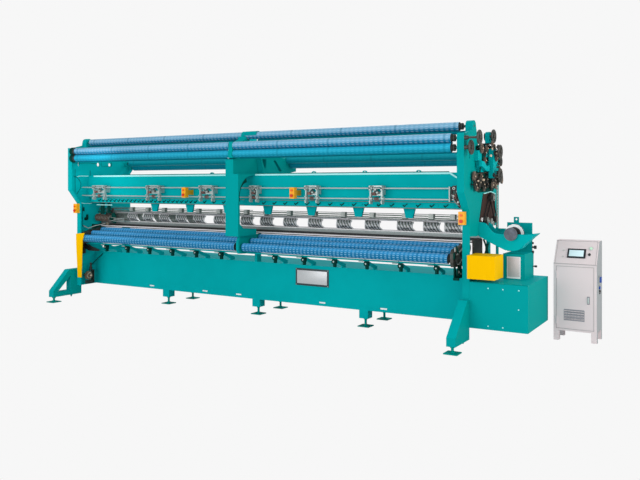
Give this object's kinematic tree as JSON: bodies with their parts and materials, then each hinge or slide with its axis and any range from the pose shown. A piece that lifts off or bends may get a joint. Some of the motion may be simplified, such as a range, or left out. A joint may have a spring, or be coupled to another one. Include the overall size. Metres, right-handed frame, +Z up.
{
  "type": "warp knitting machine",
  "caption": "Single-bed warp knitting machine for netting: base bed, end frames, main beam, feed and take-up rollers, guide arms, pattern drum, drive box and a separate control cabinet.",
  "frame": {"origin": "middle of the sole of the middle front foot, on the floor", "axes": "+X along the needle line towards the drive side, +Y from the front to the rear, +Z up"},
  "size_m": [7.519, 1.646, 2.456],
  "materials": {
    "machine_paint": "satin enamel",
    "foot_paint": "satin enamel",
    "plated_steel": "plated",
    "dark_steel": "oiled dark steel",
    "arm_steel": "ground",
    "black_iron": "black",
    "pale_bar": "satin",
    "feed_sleeve": "ribbed anti-slip sleeve",
    "takeup_sleeve": "dotted anti-slip sleeve",
    "guard_yellow": "satin enamel",
    "guard_brown": "satin",
    "station_yellow": "moulded",
    "button_orange": "moulded",
    "button_red": "moulded",
    "belt_rubber": "matt",
    "bronze": "worn",
    "cabinet_paint": "fine texture powder coat",
    "screen_black": "glossy",
    "socket_blue": "moulded",
    "knob_black": "moulded",
    "button_grey": "moulded",
    "drum_grey": "painted dark grey"
  },
  "bodies": {
    "machine": {"base_bed": "machine_paint", "front_legs": "machine_paint", "levelling_feet": "foot_paint", "end_frame_left": "machine_paint", "end_frame_right": "machine_paint", "mid_frame": "machine_paint", "main_beam": "machine_paint", "guide_rods": "plated_steel", "rod_clamps": "plated_steel", "upper_rail": "dark_steel", "trick_plate": "black_iron", "cloth_bar": "pale_bar", "roller_supports": "machine_paint", "bearing_blocks": "dark_steel", "strip_guard": "guard_yellow", "box_guard": "guard_yellow", "belt_guard": "guard_brown", "drive_box": "machine_paint", "drum_housing": "machine_paint", "chain_tray": "machine_paint", "station_boxes": "station_yellow", "feed_gear_cases": "machine_paint", "feed_chains": "dark_steel", "drive_belts": "belt_rubber", "cabinet_shell": "cabinet_paint", "cabinet_fittings": "socket_blue", "touch_screen": "screen_black"},
    "feed_roller_1_body": {"feed_roller_1": "feed_sleeve"},
    "feed_roller_2_body": {"feed_roller_2": "feed_sleeve", "handwheel_2": "dark_steel"},
    "feed_roller_3_body": {"feed_roller_3": "feed_sleeve", "handwheel_3": "dark_steel"},
    "feed_roller_4_body": {"feed_roller_4": "feed_sleeve"},
    "feed_roller_5_body": {"feed_roller_5": "feed_sleeve"},
    "handwheel_1_body": {"handwheel_1": "dark_steel"},
    "handwheel_4_body": {"handwheel_4": "dark_steel"},
    "handwheel_5_body": {"handwheel_5": "dark_steel"},
    "takeup_roller_1_body": {"takeup_roller_1": "takeup_sleeve"},
    "takeup_roller_2_body": {"takeup_roller_2": "takeup_sleeve"},
    "takeup_roller_3_body": {"takeup_roller_3": "takeup_sleeve"},
    "needle_bar_body": {"needle_bar": "arm_steel"},
    "guide_bar_body": {"guide_arms": "arm_steel"},
    "main_shaft_body": {"main_pulley": "dark_steel"},
    "jack_shaft_body": {"jack_pulley": "dark_steel"},
    "side_shaft_body": {"side_pulley": "dark_steel"},
    "pattern_drum_body": {"pattern_drum": "drum_grey"},
    "worm_wheel_body": {"worm_wheel": "bronze"},
    "start_button_1_body": {"start_button_1": "button_orange"},
    "stop_button_1_body": {"stop_button_1": "button_red"},
    "start_button_2_body": {"start_button_2": "button_orange"},
    "stop_button_2_body": {"stop_button_2": "button_red"},
    "start_button_3_body": {"start_button_3": "button_orange"},
    "stop_button_3_body": {"stop_button_3": "button_red"},
    "start_button_4_body": {"start_button_4": "button_orange"},
    "stop_button_4_body": {"stop_button_4": "button_red"},
    "door_body": {"cabinet_door": "cabinet_paint"},
    "handle_body": {"door_handle": "plated_steel"},
    "selector_body": {"selector_knob": "knob_black"},
    "panel_button_1_body": {"panel_button_1": "button_grey"},
    "panel_button_2_body": {"panel_button_2": "button_grey"}
  },
  "joints": [
    {"name": "feed_roller_1_turn", "type": "hinge", "parent": "machine", "child": "feed_roller_1_body", "pos_m": [0, -0.25, 2.394], "axis": [1, 0, 0], "continuous": true},
    {"name": "feed_roller_2_turn", "type": "hinge", "parent": "machine", "child": "feed_roller_2_body", "pos_m": [0, -0.566, 2.247], "axis": [1, 0, 0], "continuous": true},
    {"name": "feed_roller_3_turn", "type": "hinge", "parent": "machine", "child": "feed_roller_3_body", "pos_m": [0, -0.566, 2.144], "axis": [1, 0, 0], "continuous": true},
    {"name": "feed_roller_4_turn", "type": "hinge", "parent": "machine", "child": "feed_roller_4_body", "pos_m": [0, 0.56, 2.094], "axis": [1, 0, 0], "continuous": true},
    {"name": "feed_roller_5_turn", "type": "hinge", "parent": "machine", "child": "feed_roller_5_body", "pos_m": [0, 0.65, 2.0286], "axis": [1, 0, 0], "continuous": true},
    {"name": "handwheel_1_turn", "type": "hinge", "parent": "machine", "child": "handwheel_1_body", "pos_m": [3.091, 0.1, 2.296], "axis": [1, 0, 0], "continuous": true},
    {"name": "handwheel_4_turn", "type": "hinge", "parent": "machine", "child": "handwheel_4_body", "pos_m": [3.091, 0.157, 2.124], "axis": [1, 0, 0], "continuous": true},
    {"name": "handwheel_5_turn", "type": "hinge", "parent": "machine", "child": "handwheel_5_body", "pos_m": [3.091, 0.157, 1.852], "axis": [1, 0, 0], "continuous": true},
    {"name": "takeup_roller_1_turn", "type": "hinge", "parent": "machine", "child": "takeup_roller_1_body", "pos_m": [0, -0.394, 0.933], "axis": [1, 0, 0], "continuous": true},
    {"name": "takeup_roller_2_turn", "type": "hinge", "parent": "machine", "child": "takeup_roller_2_body", "pos_m": [0, -0.21, 0.989], "axis": [1, 0, 0], "continuous": true},
    {"name": "takeup_roller_3_turn", "type": "hinge", "parent": "machine", "child": "takeup_roller_3_body", "pos_m": [0, -0.026, 1.029], "axis": [1, 0, 0], "continuous": true},
    {"name": "needle_bar_lift", "type": "slide", "parent": "machine", "child": "needle_bar_body", "axis": [0, 0, 1], "range_m": [-0.02, 0.004]},
    {"name": "guide_swing", "type": "hinge", "parent": "machine", "child": "guide_bar_body", "pos_m": [0, 0.06, 1.318], "axis": [1, 0, 0], "range_deg": [-5, 5]},
    {"name": "main_shaft_turn", "type": "hinge", "parent": "machine", "child": "main_shaft_body", "pos_m": [3.091, 0.238, 1.6], "axis": [1, 0, 0], "continuous": true},
    {"name": "jack_shaft_turn", "type": "hinge", "parent": "machine", "child": "jack_shaft_body", "pos_m": [3.091, 0.04, 1.35], "axis": [1, 0, 0], "continuous": true},
    {"name": "side_shaft_turn", "type": "hinge", "parent": "machine", "child": "side_shaft_body", "pos_m": [3.091, 0.392, 1.346], "axis": [1, 0, 0], "continuous": true},
    {"name": "pattern_drum_turn", "type": "hinge", "parent": "machine", "child": "pattern_drum_body", "pos_m": [3.46, 0, 1.21], "axis": [0, 1, 0], "continuous": true},
    {"name": "worm_wheel_turn", "type": "hinge", "parent": "machine", "child": "worm_wheel_body", "pos_m": [-3.098, -0.292, 0.355], "axis": [1, 0, 0], "continuous": true},
    {"name": "start_button_1_press", "type": "slide", "parent": "machine", "child": "start_button_1_body", "axis": [0, 1, 0], "range_m": [0, 0.006], "stiffness_N_per_m": 400, "springref_m": -0.002},
    {"name": "stop_button_1_press", "type": "slide", "parent": "machine", "child": "stop_button_1_body", "axis": [0, 1, 0], "range_m": [0, 0.006], "stiffness_N_per_m": 500, "springref_m": -0.002},
    {"name": "start_button_2_press", "type": "slide", "parent": "machine", "child": "start_button_2_body", "axis": [0, 1, 0], "range_m": [0, 0.006], "stiffness_N_per_m": 400, "springref_m": -0.002},
    {"name": "stop_button_2_press", "type": "slide", "parent": "machine", "child": "stop_button_2_body", "axis": [0, 1, 0], "range_m": [0, 0.006], "stiffness_N_per_m": 500, "springref_m": -0.002},
    {"name": "start_button_3_press", "type": "slide", "parent": "machine", "child": "start_button_3_body", "axis": [0, 1, 0], "range_m": [0, 0.006], "stiffness_N_per_m": 400, "springref_m": -0.002},
    {"name": "stop_button_3_press", "type": "slide", "parent": "machine", "child": "stop_button_3_body", "axis": [0, 1, 0], "range_m": [0, 0.006], "stiffness_N_per_m": 500, "springref_m": -0.002},
    {"name": "start_button_4_press", "type": "slide", "parent": "machine", "child": "start_button_4_body", "axis": [0, 1, 0], "range_m": [0, 0.006], "stiffness_N_per_m": 400, "springref_m": -0.002},
    {"name": "stop_button_4_press", "type": "slide", "parent": "machine", "child": "stop_button_4_body", "axis": [0, 1, 0], "range_m": [0, 0.006], "stiffness_N_per_m": 500, "springref_m": -0.002},
    {"name": "cabinet_door_swing", "type": "hinge", "parent": "machine", "child": "door_body", "pos_m": [3.8196, 0.432, 0.14], "axis": [0, 0, -1], "range_deg": [0, 100]},
    {"name": "door_handle_turn", "type": "hinge", "parent": "door_body", "child": "handle_body", "pos_m": [4.158, 0.437, 0.492], "axis": [0, -1, 0], "range_deg": [0, 90]},
    {"name": "selector_turn", "type": "hinge", "parent": "machine", "child": "selector_body", "pos_m": [4.156, 0.51001, 0.96613], "axis": [0, 0.8214, -0.5704], "range_deg": [-45, 45]},
    {"name": "panel_button_1_press", "type": "slide", "parent": "machine", "child": "panel_button_1_body", "axis": [0, 0.8214, -0.5704], "range_m": [0, 0.003], "stiffness_N_per_m": 300, "springref_m": -0.002},
    {"name": "panel_button_2_press", "type": "slide", "parent": "machine", "child": "panel_button_2_body", "axis": [0, 0.8214, -0.5704], "range_m": [0, 0.003], "stiffness_N_per_m": 300, "springref_m": -0.002}
  ],
  "couplings": [
    {"joint": "handwheel_1_turn", "follows": "feed_roller_4_turn", "ratio": 1.5294},
    {"joint": "handwheel_4_turn", "follows": "feed_roller_5_turn", "ratio": 1.5294},
    {"joint": "takeup_roller_2_turn", "follows": "takeup_roller_1_turn", "ratio": -1},
    {"joint": "takeup_roller_3_turn", "follows": "takeup_roller_1_turn", "ratio": 1},
    {"joint": "jack_shaft_turn", "follows": "main_shaft_turn", "ratio": 1.2432},
    {"joint": "side_shaft_turn", "follows": "main_shaft_turn", "ratio": 1.2432}
  ]
}
